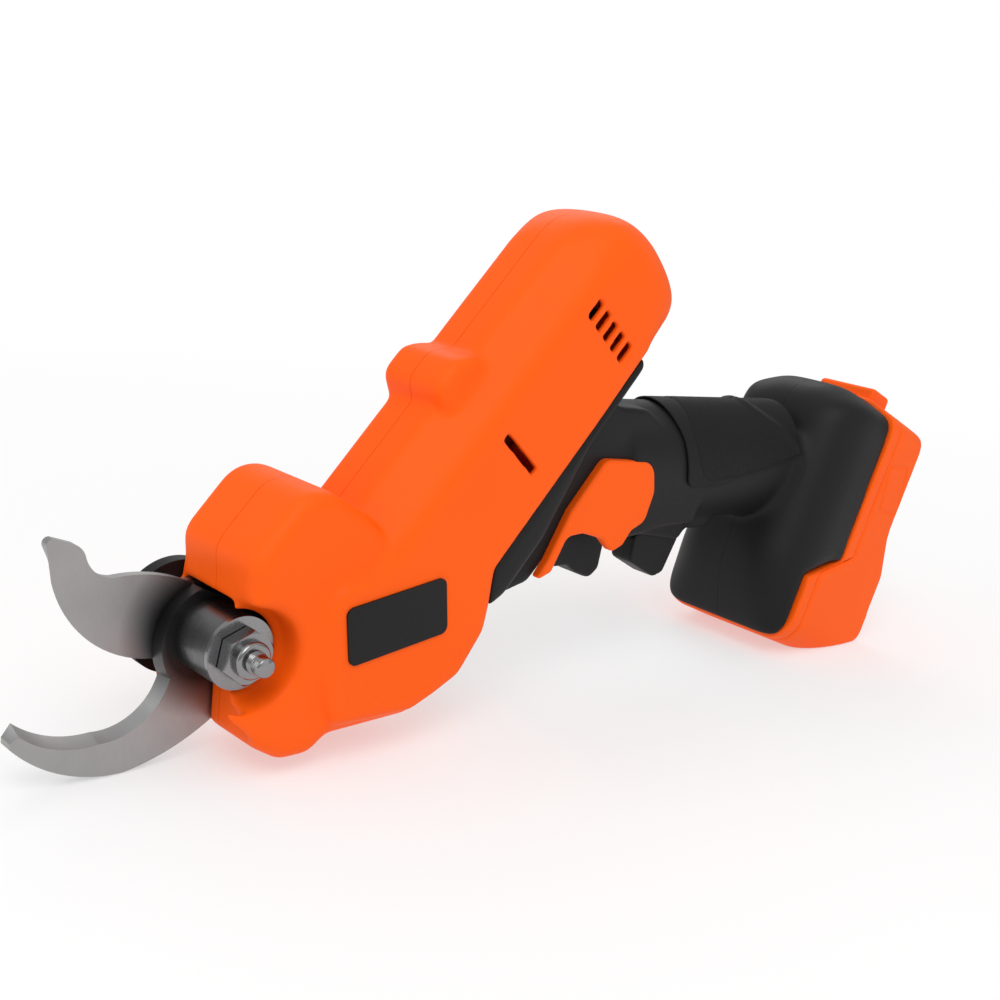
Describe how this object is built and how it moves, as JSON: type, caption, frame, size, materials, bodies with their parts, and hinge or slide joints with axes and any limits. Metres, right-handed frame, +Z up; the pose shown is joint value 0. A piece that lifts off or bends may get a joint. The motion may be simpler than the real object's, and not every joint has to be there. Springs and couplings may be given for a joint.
{
  "type": "cordless pruning shear",
  "caption": "Cordless hand pruner: a motor barrel drives a curved blade through gears against a fixed hook, with a trigger handle and a slide-off battery.",
  "frame": {"origin": "on the blade pivot axis, halfway along the plain free end of the pivot bolt, which stands out on the tool's left side", "axes": "-X points forward to the blades, +Y is the tool's right side, +Z is up with the tool lying by itself on a bench, on the battery's flat lower end and the back of the hook"},
  "size_m": [0.4432, 0.0746, 0.1956],
  "materials": {
    "orange_plastic": "moulded orange plastic, fine texture",
    "black_plastic": "moulded black plastic, fine texture",
    "black_rubber": "soft black overmould with fine ribs",
    "blade_steel": "ground blade steel, brushed along the edge",
    "hub_steel": "darker turned steel",
    "zinc_steel": "bright plated fastener steel",
    "gear_steel": "hardened gear steel",
    "bush_bronze": "sintered bronze",
    "motor_metal": "plated motor can",
    "copper_windings": "enamelled copper wire",
    "grey_plastic": "grey moulded fan",
    "board_green": "solder-masked circuit board",
    "contact_brass": "contact brass",
    "lead_rubber": "red wire insulation",
    "spring_steel": "spring wire",
    "cell_wrap": "shrink-wrapped cells"
  },
  "bodies": {
    "tool_body": {"left_housing": "orange_plastic", "right_housing": "orange_plastic", "left_handle_frame": "black_plastic", "right_handle_frame": "black_plastic", "left_trigger_surround": "orange_plastic", "right_trigger_surround": "orange_plastic", "left_grip_pad": "black_rubber", "right_grip_pad": "black_rubber", "badge_plates": "black_plastic", "housing_screws": "zinc_steel", "hook_blade": "blade_steel", "hook_screws": "zinc_steel", "hub_sleeve": "hub_steel", "pivot_bolt": "zinc_steel", "pivot_cap": "black_plastic", "pivot_washer": "hub_steel", "lock_nut": "zinc_steel", "left_shaft_bush": "bush_bronze", "right_shaft_bush": "bush_bronze", "output_bearing": "gear_steel", "ring_gear_case": "gear_steel", "motor_can": "motor_metal", "stator_windings": "copper_windings", "motor_front_plate": "motor_metal", "motor_rear_plate": "motor_metal", "front_rotor_bearing": "gear_steel", "rear_rotor_bearing": "gear_steel", "trigger_switch": "black_plastic", "control_board": "board_green", "terminal_block": "black_plastic", "handle_contacts": "contact_brass", "power_leads": "lead_rubber", "lever_pin": "zinc_steel", "trigger_spring": "spring_steel", "lever_spring": "spring_steel"},
    "upper_blade": {"moving_blade": "blade_steel", "sector_gear": "gear_steel", "sector_dowels": "gear_steel"},
    "shaft_group": {"cross_shaft": "gear_steel", "bevel_wheel": "gear_steel", "spur_pinion": "gear_steel"},
    "carrier_group": {"planet_carrier": "gear_steel", "planet_pins": "gear_steel", "bevel_pinion": "gear_steel"},
    "rotor_group": {"rotor_shaft": "gear_steel", "rotor_magnet": "motor_metal", "sun_gear": "gear_steel", "cooling_fan": "grey_plastic"},
    "planet_one": {"planet_gear_1": "gear_steel"},
    "planet_two": {"planet_gear_2": "gear_steel"},
    "planet_three": {"planet_gear_3": "gear_steel"},
    "trigger_group": {"trigger": "black_plastic"},
    "lever_group": {"lock_lever": "black_plastic"},
    "battery_pack": {"battery_cover": "orange_plastic", "battery_tub": "orange_plastic", "battery_cells": "cell_wrap", "cell_holders": "black_plastic", "battery_terminals": "contact_brass", "latch_spring": "spring_steel"},
    "latch_group": {"battery_latch": "orange_plastic"}
  },
  "joints": [
    {"name": "blade_pivot", "type": "hinge", "parent": "tool_body", "child": "upper_blade", "pos_m": [0, 0, 0], "axis": [0, -1, 0], "range_deg": [0, 55]},
    {"name": "cross_shaft_spin", "type": "hinge", "parent": "tool_body", "child": "shaft_group", "pos_m": [0.05361, 0.0279, 0.0123], "axis": [0, -1, 0], "range_deg": [-147.96, 0]},
    {"name": "carrier_spin", "type": "hinge", "parent": "tool_body", "child": "carrier_group", "pos_m": [0.09023, 0.0279, 0.05369], "axis": [0.6626, 0, 0.749], "range_deg": [0, 378.9]},
    {"name": "rotor_spin", "type": "hinge", "parent": "tool_body", "child": "rotor_group", "pos_m": [0.09023, 0.0279, 0.05369], "axis": [0.6626, 0, 0.749], "range_deg": [0, 1512.59]},
    {"name": "planet_one_spin", "type": "hinge", "parent": "carrier_group", "child": "planet_one", "pos_m": [0.09023, 0.0399, 0.05369], "axis": [0.6626, 0, 0.749], "range_deg": [-1134.69, 0]},
    {"name": "planet_two_spin", "type": "hinge", "parent": "carrier_group", "child": "planet_two", "pos_m": [0.08245, 0.0219, 0.06058], "axis": [0.6626, 0, 0.749], "range_deg": [-1134.69, 0]},
    {"name": "planet_three_spin", "type": "hinge", "parent": "carrier_group", "child": "planet_three", "pos_m": [0.09801, 0.0219, 0.04681], "axis": [0.6626, 0, 0.749], "range_deg": [-1134.69, 0]},
    {"name": "trigger_pull", "type": "slide", "parent": "tool_body", "child": "trigger_group", "axis": [0.866, 0, 0.5], "range_m": [0, 0.005], "stiffness_N_per_m": 800, "deforming": ["trigger_spring"]},
    {"name": "lever_squeeze", "type": "hinge", "parent": "tool_body", "child": "lever_group", "pos_m": [0.227, 0.0279, 0.0143], "axis": [0, 1, 0], "range_deg": [0, 14], "stiffness_Nm_per_rad": 0.05, "deforming": ["lever_spring"]},
    {"name": "battery_slide", "type": "slide", "parent": "tool_body", "child": "battery_pack", "axis": [-0.3891, 0, -0.9212], "range_m": [0, 0.12]},
    {"name": "latch_press", "type": "slide", "parent": "battery_pack", "child": "latch_group", "axis": [-0.3891, 0, -0.9212], "range_m": [0, 0.0025], "stiffness_N_per_m": 1500, "deforming": ["latch_spring"]}
  ],
  "couplings": [
    {"joint": "cross_shaft_spin", "follows": "blade_pivot", "ratio": -2.6667},
    {"joint": "carrier_spin", "follows": "blade_pivot", "ratio": 6.8571},
    {"joint": "rotor_spin", "follows": "blade_pivot", "ratio": 27.429},
    {"joint": "planet_one_spin", "follows": "blade_pivot", "ratio": -20.571},
    {"joint": "planet_two_spin", "follows": "blade_pivot", "ratio": -20.571},
    {"joint": "planet_three_spin", "follows": "blade_pivot", "ratio": -20.571}
  ]
}
